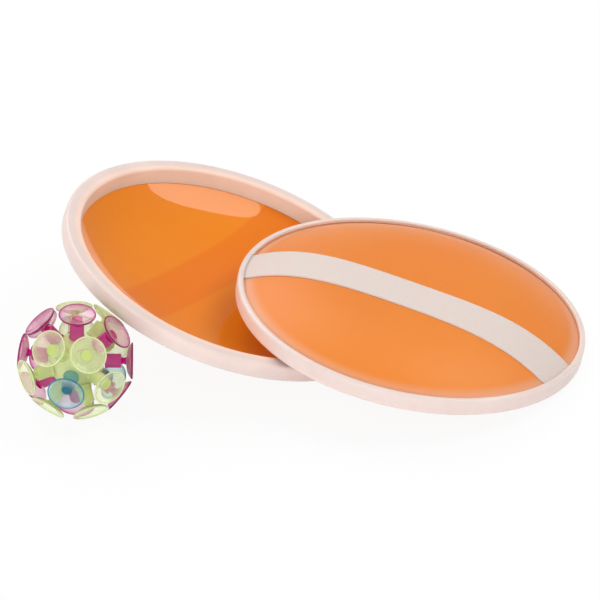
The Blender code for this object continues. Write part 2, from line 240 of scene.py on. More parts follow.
@dataclass(frozen=True)
class FrostedPolypropylene:
    """Moulded milky polypropylene of the rings.

    Light sinks a few millimetres into it, so it looks waxy. Next to the orange sheet it is painted
    peach, a painted orange glow for the light that passes through the sheet and bounces off it.
    The mould leaves a fine spark-eroded frost.
    """

    outside: str = "#EED9D2"
    milky: str = "#E8D5CE"
    # The last two colours are a painted orange glow next to the sheet, not the plastic's own
    # colour.
    warm_glow: str = "#F8D8C8"
    glow: str = "#FFE2CC"
    roughness: float = 0.38
    scatter: float = 0.25
    scatter_depth_mm: float = 5.0
    cloud_mm: float = 22.0
    frost_mm: float = 0.9
    frost_height_mm: float = 0.05

    def material(self) -> bpy.types.Material:
        """Builds the material; the attribute 'nearness' is 1 next to the sheet, where the painted
        orange glow is strongest.
        """
        material, tree = new_material("frosted_polypropylene")
        glow_nearness = add_node(tree, "ShaderNodeAttribute", attribute_name="glow_nearness")
        # Painted orange glow: the colour runs from milky white to peach next to the sheet, standing
        # in for light that passes through and bounces off it.
        ramp = add_node(tree, "ShaderNodeValToRGB", links={"Fac": (glow_nearness, "Fac")})
        colour_steps(
            ramp, [(0.0, self.outside), (0.12, self.milky), (0.5, self.warm_glow), (1.0, self.glow)]
        )
        place = add_node(tree, "ShaderNodeTexCoord")
        cloud = noise(tree, place, self.cloud_mm, 3.0)
        tone = remap(tree, (cloud, "Fac"), NOISE_SPAN, (0.96, 1.03))
        tinted = add_node(
            tree, "ShaderNodeMix", data_type="RGBA", blend_type="MULTIPLY",
            values={"Factor": 1.0},
            links={6: (ramp, "Color"), 7: (tone, "Result")},
        )
        # The real frost is about 0.05 mm; it is drawn at 0.9 mm so that it breaks up the gloss.
        frost = noise(tree, place, self.frost_mm, 2.0)
        rough = remap(
            tree, (frost, "Fac"), NOISE_SPAN, (self.roughness - 0.05, self.roughness + 0.07)
        )
        bump = add_node(
            tree, "ShaderNodeBump",
            values={"Strength": 0.10, "Distance": self.frost_height_mm * MM},
            links={"Height": (frost, "Fac")},
        )
        shader = add_node(
            tree, "ShaderNodeBsdfPrincipled",
            values={
                "IOR": 1.49,
                "Subsurface Weight": self.scatter,
                "Subsurface Radius": (1.0, 0.72, 0.62),
                "Subsurface Scale": self.scatter_depth_mm * MM,
            },
            links={
                "Base Color": (tinted, 2), "Roughness": (rough, "Result"),
                "Normal": (bump, "Normal"),
            },
        )
        end_material(tree, shader)
        return material


class SheetSide(Enum):
    """Side of the domed sheet."""

    CATCH = "catch"
    BACK = "back"


@dataclass(frozen=True)
class OrangeStyrene:
    """Thermoformed translucent orange styrene sheet.

    The catch side is polished, so that a cup can hold on it; the back keeps the satin of the
    forming tool. Light passes through it tinted and blurred. On the catch side a painted shade
    deepens it where the webbing lies behind it in shadow. On the back its edge is painted paler,
    a painted haze for light that comes through the steep shoulder, where the white ring lies
    behind it, and for the pale sheen at its grazing edge. Its UV map is the disc's own x and y in
    metres.
    """

    side: SheetSide
    colour: str
    deep: str
    roughness: float
    passes: float
    coat: float
    coat_roughness: float
    # Depth and colour of the painted shade where the webbing lies behind the catch side
    # (strap_shade_depth, band), and of the painted haze at the back's edge (edge_haze_depth, edge).
    strap_shade_depth: float = 0.0
    edge_haze_depth: float = 0.0
    band: str = "#FFE6C0"
    band_width_mm: float = 26.5
    band_offset_mm: float = 16.5
    band_blur_mm: float = 1.0
    # Colour of the painted haze at the back's edge.
    edge: str = "#FFD8BE"
    edge_starts_mm: float = 84.0
    edge_ends_mm: float = 91.0
    cloud_mm: float = 60.0
    marks_mm: float = 2.0

    def material(self) -> bpy.types.Material:
        """Builds the material of one side of the sheet."""
        material, tree = new_material("orange_styrene_" + self.side.value)
        place = add_node(tree, "ShaderNodeTexCoord")
        cloud = noise(tree, place, self.cloud_mm, 2.0)
        ramp = add_node(tree, "ShaderNodeValToRGB", links={"Fac": (cloud, "Fac")})
        colour_steps(ramp, [(0.3, self.deep), (0.7, self.colour)])
        # Painted shade: the catch side is darkened along the strip where the webbing lies behind it
        # in shadow.
        flat = add_node(tree, "ShaderNodeSeparateXYZ", links={"Vector": (place, "UV")})
        aside = combine(tree, "SUBTRACT", (flat, "Y"), self.band_offset_mm * MM)
        apart = add_node(tree, "ShaderNodeMath", operation="ABSOLUTE", links={0: aside})
        half = 0.5 * self.band_width_mm
        behind = remap(
            tree, (apart, "Value"),
            ((half - self.band_blur_mm) * MM, (half + self.band_blur_mm) * MM),
            (self.strap_shade_depth, 0.0), interpolation_type="SMOOTHSTEP",
        )
        strap_shaded = add_node(
            tree, "ShaderNodeMix", data_type="RGBA", blend_type="MULTIPLY",
            values={7: linear(self.band)},
            links={"Factor": (behind, "Result"), 6: (ramp, "Color")},
        )
        # Painted haze: the back is lightened towards its clamped edge, for light through the steep
        # shoulder and the pale sheen at grazing.
        outward = add_node(
            tree, "ShaderNodeVectorMath", operation="LENGTH", links={0: (place, "UV")}
        )
        clamped = remap(
            tree, (outward, "Value"), (self.edge_starts_mm * MM, self.edge_ends_mm * MM),
            (0.0, self.edge_haze_depth), interpolation_type="SMOOTHSTEP",
        )
        edge_hazed = add_node(
            tree, "ShaderNodeMix", data_type="RGBA",
            values={7: linear(self.edge)},
            links={"Factor": (clamped, "Result"), 6: (strap_shaded, 2)},
        )
        # The marks of the forming are about 2 mm apart and vary only the gloss.
        marks = noise(tree, place, self.marks_mm, 3.0)
        rough = remap(
            tree, (marks, "Fac"), NOISE_SPAN, (self.roughness * 0.9, self.roughness * 1.12)
        )
        shader = add_node(
            tree, "ShaderNodeBsdfPrincipled",
            values={
                "IOR": 1.2,
                "Transmission Weight": self.passes,
                "Coat Weight": self.coat,
                "Coat Roughness": self.coat_roughness,
                "Coat IOR": 1.5,
            },
            links={"Base Color": (edge_hazed, 2), "Roughness": (rough, "Result")},
        )
        end_material(tree, shader)
        return material


@dataclass(frozen=True)
class WovenElastic:
    """White woven elastic webbing: rubber cords lengthwise, bound by a plain polyester weave."""

    yarn: str = "#E6D8D0"
    painted_valley_shade: str = "#D2C2BA"
    cord_mm: float = 1.3
    pick_mm: float = 0.9
    fibre_mm: float = 0.5
    weave_height_mm: float = 0.22

    def material(self) -> bpy.types.Material:
        """Builds the weave on the piece's UV map, whose unit is one metre of the cut band."""
        material, tree = new_material("woven_elastic_webbing")
        place = add_node(tree, "ShaderNodeTexCoord")
        cords = add_node(
            tree, "ShaderNodeTexWave", wave_type="BANDS", bands_direction="Y", wave_profile="SIN",
            values={"Scale": TAU / (self.cord_mm * MM) / WAVE_TURN, "Distortion": 0.0},
            links={"Vector": (place, "UV")},
        )
        picks = add_node(
            tree, "ShaderNodeTexWave", wave_type="BANDS", bands_direction="X", wave_profile="SIN",
            values={
                "Scale": TAU / (self.pick_mm * MM) / WAVE_TURN, "Distortion": 0.4, "Detail": 1.0,
            },
            links={"Vector": (place, "UV")},
        )
        weave = combine(tree, "MULTIPLY", (cords, "Fac"), (picks, "Fac"))
        fibres = noise(tree, place, self.fibre_mm, 3.0, "UV")
        height = add_node(
            tree, "ShaderNodeMath", operation="MULTIPLY_ADD",
            values={1: 0.35}, links={0: (fibres, "Fac"), 2: weave},
        )
        # Darker in the valleys of the weave, a painted shade in the hollows between cords and
        # picks, with a random tone from the fibres.
        ramp = add_node(tree, "ShaderNodeValToRGB", links={"Fac": (height, "Value")})
        colour_steps(ramp, [(0.05, self.painted_valley_shade), (0.55, self.yarn)])
        bump = add_node(
            tree, "ShaderNodeBump",
            values={"Strength": 0.5, "Distance": self.weave_height_mm * MM},
            links={"Height": (height, "Value")},
        )
        shader = add_node(
            tree, "ShaderNodeBsdfPrincipled",
            values={
                "Roughness": 0.82, "IOR": 1.45, "Sheen Weight": 0.05, "Sheen Roughness": 0.5,
                "Subsurface Weight": 0.15, "Subsurface Scale": 1.0 * MM,
            },
            links={"Base Color": (ramp, "Color"), "Normal": (bump, "Normal")},
        )
        end_material(tree, shader)
        return material


class RubberColour(Enum):
    """Colours of the soft vinyl: name, then colour of a thin skin, a wall, a neck and a lip."""

    LIME = ("lime", "#FCFEF2", "#F4FBC6", "#ECF6A6", "#E8F6C0")
    MAGENTA = ("magenta", "#FFF8FC", "#EE74C0", "#DA008E", "#7E0A40")
    TURQUOISE = ("turquoise", "#F6FDFC", "#B4F0EA", "#0092A8", "#0A7AAE")
    HEART = ("pale_lime", "#F6FBC6", "#F6FBC6", "#F6FBC6", "#F6FBC6")


@dataclass(frozen=True)
class SoftVinyl:
    """Clear tinted soft vinyl of the suction cups.

    A thin skin is pale and clear, and the thick neck and the lip are deep in colour. The tint
    inside deepens whatever is seen on edge.
    """

    colour: RubberColour
    thin_passes: float = 1.0
    thick_passes: float = 0.25
    roughness: float = 0.07
    gloss: float = 0.35
    tint_per_metre: float = 240.0
    flow_mm: float = 3.0
    flow_height_mm: float = 0.1

    def material(self) -> bpy.types.Material:
        """Builds the material; the attribute 'depth' goes from 0, a thin skin, to 1, the lip.

        It is below 0 where the skin is clearest, over the neck.
        """
        name, thin, wall, neck, lip = self.colour.value
        material, tree = new_material("soft_vinyl_" + name)
        depth = add_node(tree, "ShaderNodeAttribute", attribute_name="depth")
        ramp = add_node(tree, "ShaderNodeValToRGB", links={"Fac": (depth, "Fac")})
        colour_steps(ramp, [(0.0, thin), (0.35, wall), (NECK_DEPTH, neck), (1.0, lip)])
        place = add_node(tree, "ShaderNodeTexCoord")
        flow = noise(tree, place, self.flow_mm, 2.0)
        rough = remap(
            tree, (flow, "Fac"), NOISE_SPAN, (self.roughness * 0.8, self.roughness * 1.3)
        )
        bump = add_node(
            tree, "ShaderNodeBump",
            values={"Strength": 0.12, "Distance": self.flow_height_mm * MM},
            links={"Height": (flow, "Fac")},
        )
        passes = remap(
            tree, (depth, "Fac"), (CLEAREST, NECK_DEPTH), (self.thin_passes, self.thick_passes)
        )
        shader = add_node(
            tree, "ShaderNodeBsdfPrincipled",
            values={
                "IOR": 1.18, "Coat Weight": self.gloss, "Coat Roughness": 0.1, "Coat IOR": 1.5,
            },
            links={
                "Base Color": (ramp, "Color"), "Roughness": (rough, "Result"),
                "Normal": (bump, "Normal"), "Transmission Weight": (passes, "Result"),
            },
        )
        tint = add_node(
            tree, "ShaderNodeVolumeAbsorption",
            values={"Color": linear(neck), "Density": self.tint_per_metre},
        )
        end_material(tree, shader, tint)
        return material


# ---------------------------------------------------------------- mesh helpers


def read_vectors(items: bpy.types.bpy_prop_collection, key: str) -> np.ndarray:
    """Reads one vector of each vertex or face of a mesh, as an array of items by three."""
    flat = np.zeros(len(items) * 3, dtype=np.float32)
    items.foreach_get(key, flat)
    return flat.reshape(-1, 3)


def own_corners(node: str) -> np.ndarray:
    """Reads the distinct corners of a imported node.

    Args:
        node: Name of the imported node.

    Returns:
        Array of points in millimetres, each place once.
    """
    corners = read_vectors(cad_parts[node].data.vertices, "co")
    return np.unique(np.round(corners.astype(float) / MM, 4), axis=0)


def grid_quads(rows: int, columns: int, wrap_rows: bool, wrap_columns: bool) -> np.ndarray:
    """Lists the four corners of each cell of a grid whose points are numbered row by row.

    Args:
        rows: Number of rows of points.
        columns: Number of points in a row.
        wrap_rows: Whether the last row joins the first.
        wrap_columns: Whether the last column joins the first.

    Returns:
        Array of cells by four corner numbers.
    """
    i = np.arange(rows if wrap_rows else rows - 1)[:, None]
    j = np.arange(columns if wrap_columns else columns - 1)[None, :]
    down = (i + 1) % rows
    right = (j + 1) % columns
    cells = [i * columns + j, i * columns + right, down * columns + right, down * columns + j]
    return np.stack([np.broadcast_to(c, (i.size, j.size)) for c in cells], -1).reshape(-1, 4)


def fan(centre: int, ring: np.ndarray) -> np.ndarray:
    """Lists the triangles that close a pole: its centre with each step of the ring round it."""
    return np.stack([np.full(len(ring), centre), ring, np.roll(ring, -1)], -1)


def build_mesh(
    name: str, points: np.ndarray, quads: np.ndarray, triangles: np.ndarray | None = None
) -> bpy.types.Mesh:
    """Makes a closed mesh whose faces point outwards.

    The signed volume is the sum over the faces of the triple product of their corners; where it
    is negative, every face is turned round.

    Args:
        name: Name of the mesh.
        points: Points in metres.
        quads: Cells of four corners.
        triangles: Cells of three corners, if there are poles.

    Returns:
        The mesh.
    """
    fans = np.zeros((0, 3), dtype=int) if triangles is None else triangles
    split = np.vstack([quads[:, [0, 1, 2]], quads[:, [0, 2, 3]], fans])
    a, b, c = (points[split[:, k]] for k in range(3))
    if float(np.einsum("ij,ij->i", a, np.cross(b, c)).sum()) < 0.0:
        quads = quads[:, ::-1]
        fans = fans[:, ::-1]
    mesh = bpy.data.meshes.new(name)
    mesh.from_pydata(points.tolist(), [], quads.tolist() + fans.tolist())
    mesh.update()
    mesh.shade_smooth()
    mesh.set_sharp_from_angle(angle=math.radians(SHARP_FROM))
    return mesh


def add_values(mesh: bpy.types.Mesh, name: str, values: np.ndarray) -> None:
    """Stores one number for each point of a mesh.

    Args:
        mesh: Mesh that gets the attribute.
        name: Name that the material reads.
        values: One number for each point.
    """
    attribute = mesh.attributes.new(name, "FLOAT", "POINT")
    attribute.data.foreach_set("value", values.astype(np.float32).ravel())


def add_uv(mesh: bpy.types.Mesh, point_uv: np.ndarray) -> None:
    """Gives a mesh a UV map from one pair for each point.

    Args:
        mesh: Mesh that gets the map.
        point_uv: Array of points by two.
    """
    corners = np.zeros(len(mesh.loops), dtype=np.int32)
    mesh.loops.foreach_get("vertex_index", corners)
    layer = mesh.uv_layers.new(name="UVMap")
    layer.data.foreach_set("uv", point_uv[corners].astype(np.float32).ravel())


def turned_mesh(
    name: str, outlines: list[np.ndarray], steps: int, place: "Placement"
) -> bpy.types.Mesh:
    """Turns outlines that start and end on the axis into closed bodies of one mesh.

    Each point (r, z) of an outline sweeps the circle (r cos a, r sin a, z); its two end points
    stay single poles, closed by fans. A third column of an outline, if there is one, goes to the
    attribute 'depth'.

    Args:
        name: Name of the mesh.
        outlines: Points (r, z) in millimetres; the first and the last have r 0.
        steps: Number of steps round.
        place: Where the piece's own frame lies.

    Returns:
        The mesh, in metres.
    """
    turns = np.linspace(0.0, TAU, steps, endpoint=False)
    points, quads, triangles, depth = [], [], [], []
    base = 0
    for outline in outlines:
        inner = outline[1:-1]
        r = inner[:, 0][:, None]
        z = inner[:, 1][:, None] * np.ones(steps)
        points.append(np.stack([r * np.cos(turns), r * np.sin(turns), z], -1).reshape(-1, 3))
        points.append(np.array([[0.0, 0.0, outline[0, 1]], [0.0, 0.0, outline[-1, 1]]]))
        count = base + r.size * steps
        quads.append(grid_quads(r.size, steps, False, True) + base)
        triangles.append(fan(count, np.arange(base, base + steps)[::-1]))
        triangles.append(fan(count + 1, np.arange(count - steps, count)))
        depth.append(np.concatenate([np.repeat(inner[:, -1], steps), outline[[0, -1], -1]]))
        base = count + 2
    mesh = build_mesh(name, place.world(np.vstack(points)), np.vstack(quads), np.vstack(triangles))
    if outlines[0].shape[1] == 3:
        add_values(mesh, "depth", np.concatenate(depth))
    return mesh


def add_object(name: str, data: bpy.types.ID) -> bpy.types.Object:
    """Makes an object of a mesh, lamp or camera, and links it to the scene."""
    item = bpy.data.objects.new(name, data)
    bpy.context.scene.collection.objects.link(item)
    return item


def show(
    mesh: bpy.types.Mesh, node: str, materials: list[bpy.types.Material]
) -> bpy.types.Object:
    """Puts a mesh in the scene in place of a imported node.

    Args:
        mesh: Finished mesh, in metres.
        node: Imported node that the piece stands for.
        materials: Materials of the piece, in the order of its face numbers.

    Returns:
        The new piece.
    """
    for material in materials:
        mesh.materials.append(material)
    piece = add_object(mesh.name, mesh)
    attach(piece, BODY)
    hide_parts(node)
    log.info("%s: %d faces, stands for %s", piece.name, len(mesh.polygons), node)
    return piece


def rounded(
    centre: tuple[float, float], radius: float, start: float, end: float, count: int
) -> np.ndarray:
    """Points on a round, the centre plus the radius times (cos t, sin t).

    Args:
        centre: Centre (r, z).
        radius: Radius of the round.
        start: First angle in degrees.
        end: Last angle in degrees.
        count: Number of points.

    Returns:
        Array of points (r, z).
    """
    t = np.radians(np.linspace(start, end, count))
    return np.stack([centre[0] + radius * np.cos(t), centre[1] + radius * np.sin(t)], -1)


@dataclass(frozen=True)
class Placement:
    """Frame of a piece: its origin in millimetres and its three axes as columns."""

    origin: np.ndarray
    axes: np.ndarray

    def world(self, points: np.ndarray) -> np.ndarray:
        """Turns points of the piece's frame, in millimetres, into metres of the whole part."""
        return (points @ self.axes.T + self.origin) * MM


# ---------------------------------------------------------------- catch disc


@dataclass
class CatchDisc:
    """One catch disc: moulded ring, domed sheet and elastic hand strap.

    In its own frame z is 0 on the catch face, the catch side is up, and the strap runs along x.
    """

    prefix: str
    radius: float = 95.0
    height: float = 9.3
    wall: float = 1.5
    edge_round: float = 1.7
    face_inner: float = 86.0
    skirt: float = 1.0
    bead_inner: float = 91.7
    bead_height: float = 1.9
    bead_round: float = 0.8
    fit: float = 0.3
    sheet_thickness: float = 1.2
    dome_depth: float = 16.8
    dome_power: float = 3.6
    dome_edge: float = 90.9
    strap_width: float = 26.5
    strap_thickness: float = 1.0
    strap_offset: float = 16.5
    strap_lift: float = 0.10
    strap_end: float = 92.9
    pocket_floor: float = 0.6
    pocket_slack: float = 0.02
    pocket_step: float = 0.05
    cord_mm: float = 1.3
    cord_ripple: float = 0.05
    turns: int = 320
    strap_steps: int = 300
    place: Placement = field(init=False)

    def __post_init__(self) -> None:
        """Finds the disc's frame from its packed sheet and strap."""
        self.place = self.find_place()

    @property
    def back_flat(self) -> float:
        """Height of the sheet's back face at its clamped edge."""
        return -(self.height - self.bead_height - self.fit)

    @property
    def groove_front(self) -> float:
        """Height of the groove's front wall."""
        return self.back_flat + self.sheet_thickness + self.fit

    def find_place(self) -> Placement:
        """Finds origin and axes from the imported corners.

        The sheet is turned, so the mean of its corners lies on its axis, and the axis is the
        direction in which they spread apart least, taken so that the sheet's edge is its high end.
        The strap's mean lies off the axis along y.

        Returns:
            The disc's frame.
        """
        corners = own_corners(self.prefix + "_dish")
        centre = corners.mean(0)
        _, _, spread = np.linalg.svd(corners - centre, full_matrices=False)
        axis = spread[2]
        along = (corners - centre) @ axis
        reach = np.linalg.norm(corners - centre - along[:, None] * axis, axis=1)
        if float((reach - reach.mean()) @ along) < 0.0:
            axis = -axis
            along = -along
        origin = centre + axis * (float(along.min()) - float(self.sheet_back(np.zeros(1))[0]))
        aside = own_corners(self.prefix + "_strap").mean(0) - origin
        aside -= axis * float(aside @ axis)
        y = aside / np.linalg.norm(aside)
        return Placement(origin, np.stack([np.cross(y, axis), y, axis], -1))

    def sheet_back(self, r: np.ndarray) -> np.ndarray:
        """Height of the sheet's back: its depth times one minus (r / edge) to the dome's power."""
        share = np.clip(r / self.dome_edge, 0.0, 1.0)
        return self.back_flat - self.dome_depth * (1.0 - share ** self.dome_power)

    def sheet_slope(self, r: np.ndarray) -> np.ndarray:
        """Slope of the sheet, the derivative of its height by the radius."""
        share = np.clip(r / self.dome_edge, 0.0, None)
        steepest = self.dome_depth * self.dome_power / self.dome_edge
        return np.where(share < 1.0, steepest * share ** (self.dome_power - 1.0), 0.0)

    def sheet_front(self, r: np.ndarray) -> np.ndarray:
        """Height of the sheet's front, one thickness off its back along the slope."""
        return self.sheet_back(r) + self.sheet_thickness * np.sqrt(1.0 + self.sheet_slope(r) ** 2)

    def ring_outline(self, in_pocket: bool) -> tuple[np.ndarray, np.ndarray]:
        """Closed outline of the ring at one place round it.

        Args:
            in_pocket: Whether the outline is taken where a strap end goes under the bead.

        Returns:
            Points (r, z), and for each how near it is to the orange sheet, from 0 to 1, which sets
            how much painted orange glow it gets.
        """
        edge = self.edge_round
        top = self.back_flat - self.fit
        floor = -self.height + self.pocket_floor + self.pocket_slack
        bead_z = -self.height + self.bead_round
        lip_end = -135.0 if in_pocket else -180.0
        bead_r = self.bead_inner + self.bead_round
        lip = rounded((bead_r, bead_z), self.bead_round, -90.0, lip_end, 7)
        ledge = floor if in_pocket else top
        ledge_inner = float(lip[-1, 0])
        skirt_r = np.linspace(self.dome_edge, self.face_inner - self.skirt, 9)
        stretch = np.sqrt(1.0 + self.sheet_slope(skirt_r) ** 2)
        under = np.stack([skirt_r, self.sheet_front(skirt_r) + self.fit * stretch], -1)
        inner_low = under[-1]
        wall_steps = np.linspace(0.0, 1.0, 8)[1:-1, None]
        inner_wall = inner_low + (np.array([self.face_inner, -edge]) - inner_low) * wall_steps
        face_round = rounded((self.face_inner + edge, -edge), edge, 180.0, 90.0, 8)
        outer_r = self.radius - edge
        face_edge = rounded((outer_r, -edge), edge, 90.0, 0.0, 10)
        back_edge = rounded((outer_r, -self.height + edge), edge, 0.0, -90.0, 10)
        # Each part has its nearness beside it, which sets its painted orange glow; two points more
        # hold the flat face level.
        parts = [
            (np.array([[outer_r - 3.0, 0.0]]), 0.12),
            (face_edge, np.linspace(0.12, 0.0, 10)),
            (np.array([[self.radius, -0.5 * self.height]]), 0.0),
            (back_edge, np.linspace(0.0, 0.12, 10)),
            (lip, 0.25),
            (np.array([[ledge_inner, ledge]]), 0.8),
            (np.array([[self.radius - self.wall, ledge]]), 1.0),
            (np.array([[self.radius - self.wall, self.groove_front]]), 1.0),
            (under, 1.0),
            (inner_wall, np.linspace(0.98, 0.82, len(inner_wall))),
            (face_round, np.linspace(0.78, 0.60, len(face_round))),
            (np.array([[self.face_inner + edge + 2.0, 0.0]]), 0.34),
        ]
        outline = np.vstack([points for points, _ in parts])
        near = np.concatenate([value * np.ones(len(points)) for points, value in parts])
        return outline, near

    def ring_angles(self) -> tuple[np.ndarray, np.ndarray]:
        """Angles of the ring's outlines and whether each lies in a strap pocket.

        Each pocket edge has two outlines a tenth of a degree apart, so it is a sharp step.

        Returns:
            Angles in radians, and a flag for each.
        """
        near_y = self.strap_offset - 0.5 * self.strap_width - self.fit
        far_y = self.strap_offset + 0.5 * self.strap_width + self.fit
        low = math.degrees(math.asin(near_y / self.strap_end))
        high = math.degrees(math.asin(far_y / self.bead_inner))
        ranges = [(low, high), (180.0 - high, 180.0 - low)]
        step = self.pocket_step
        edges = [value + shift for pair in ranges for value in pair for shift in (-step, step)]
        even = np.linspace(0.0, 360.0, self.turns, endpoint=False)
        angles = np.unique(np.concatenate([even, edges]))
        inside = np.zeros(len(angles), dtype=bool)
        for first, last in ranges:
            inside |= (angles > first) & (angles < last)
        return np.radians(angles), inside

    def ring_mesh(self) -> bpy.types.Mesh:
        """Sweeps the ring's outline round the disc: (r cos a, r sin a, z) for every angle a.

        Returns:
            The closed ring, with the attribute 'nearness' for its painted orange glow.
        """
        plain, near = self.ring_outline(False)
        pocket, _ = self.ring_outline(True)
        angles, inside = self.ring_angles()
        outline = np.where(inside[:, None, None], pocket[None], plain[None])
        r = outline[:, :, 0]
        turn = angles[:, None]
        grid = np.stack([r * np.cos(turn), r * np.sin(turn), outline[:, :, 1]], -1)
        rows, columns = r.shape
        quads = grid_quads(rows, columns, True, True)
        mesh = build_mesh(self.prefix + "_ring", self.place.world(grid.reshape(-1, 3)), quads)
        add_values(mesh, "glow_nearness", np.tile(near, rows))
        return mesh

    def sheet_mesh(self) -> bpy.types.Mesh:
        """Turns the sheet's outline: front from the axis out, clamped edge, back to the axis.

        Returns:
            The closed sheet; its face number is 0 on the catch side and 1 on the back.
        """
        share = np.linspace(0.0, 1.0, 56)
        r = self.dome_edge * (1.0 - (1.0 - share) ** 1.3)
        front = np.stack([r[:-1], self.sheet_front(r[:-1])], -1)
        back = np.stack([r[:-1], self.sheet_back(r[:-1])], -1)[::-1]
        outer = self.radius - self.wall - self.fit
        flat = self.back_flat + self.sheet_thickness
        rim = np.array([
            [self.dome_edge, flat], [outer, flat],
            [outer, self.back_flat], [self.dome_edge, self.back_flat],
        ])
        outline = np.vstack([front, rim, back])
        mesh = turned_mesh(self.prefix + "_sheet", [outline], self.turns, self.place)
        behind = read_vectors(mesh.polygons, "normal") @ self.place.axes[:, 2] < 0.0
        mesh.polygons.foreach_set("material_index", behind.astype(np.int32))
        places = read_vectors(mesh.vertices, "co") - self.place.origin * MM
        add_uv(mesh, places @ self.place.axes[:, :2])
        return mesh

    def strap_mesh(self) -> tuple[bpy.types.Mesh, tuple[float, float]]:
        """Lays the band over the back of the sheet.

        Rows run along x at a fixed y, with their ends on the ring's circle. The height is the
        sheet's back less the lift, and the band's outer face lies one thickness further out along
        the normal, rounded down to a thin selvedge and with a cosine ripple over the cords.

        Returns:
            The closed band with a UV map in metres, and its flat width and length in metres.
        """
        half = 0.5 * self.strap_width
        thick = self.strap_thickness
        across = np.linspace(-half, half, 81)
        y = self.strap_offset + across
        share = np.sin(np.linspace(-0.5, 0.5, self.strap_steps) * math.pi)
        x = np.sqrt(self.strap_end ** 2 - y ** 2)[:, None] * share
        rows = np.repeat(y[:, None], x.shape[1], axis=1)
        r = np.hypot(x, rows)
        slope = self.sheet_slope(r)
        stretch = np.sqrt(1.0 + slope ** 2)
        normal = np.stack([slope * x / r, slope * rows / r, -np.ones_like(r)], -1)
        normal /= stretch[..., None]
        base = np.stack([x, rows, self.sheet_back(r)], -1)
        round_off = np.sqrt(np.clip(1.0 - (np.abs(across) / half) ** 24, 0.0, 1.0))
        ripple = self.cord_ripple * (1.0 - np.cos(TAU * across / self.cord_mm)) * round_off
        top = self.strap_lift + thick * (0.4 + 0.6 * round_off) - ripple
        outer = base + normal * top[:, None, None]
        inner = base + normal * self.strap_lift
        points = np.concatenate([outer, inner[::-1]], axis=0)
        count, columns = points.shape[:2]
        quads = grid_quads(count, columns, True, False)
        flip = np.arange(len(across))
        partner = count - 1 - flip
        caps = []
        for column in (0, columns - 1):
            strip = np.stack([flip[:-1] * columns, flip[1:] * columns,
                              partner[1:] * columns, partner[:-1] * columns], -1) + column
            caps.append(strip if column else strip[:, ::-1])
        placed = self.place.world(points.reshape(-1, 3))
        mesh = build_mesh(self.prefix + "_webbing", placed, np.vstack([quads, *caps]))
        steps = np.linalg.norm(np.diff(base[len(y) // 2], axis=0), axis=1)
        length = float(steps.sum())
        run = np.concatenate([[0.0], np.cumsum(steps)]) * MM
        around = np.concatenate([across, across[::-1]]) * MM
        uv = np.stack([np.tile(run, count), np.repeat(around, columns)], -1)
        add_uv(mesh, uv)
        return mesh, (self.strap_width * MM, length * MM)

    def build(self, finishes: dict[str, bpy.types.Material]) -> None:
        """Makes the disc's three pieces.

        Args:
            finishes: Finish name to material.
        """
        show(self.ring_mesh(), self.prefix + "_rim", [finishes["ring"]])
        sides = [finishes["catch"], finishes["back"]]
        show(self.sheet_mesh(), self.prefix + "_dish", sides)
        band, flat = self.strap_mesh()
        webbing = show(band, self.prefix + "_strap", [finishes["strap"]])
        log.info("%s webbing is %.1f x %.1f mm flat", self.prefix, flat[0] / MM, flat[1] / MM)


# ---------------------------------------------------------------- suction ball


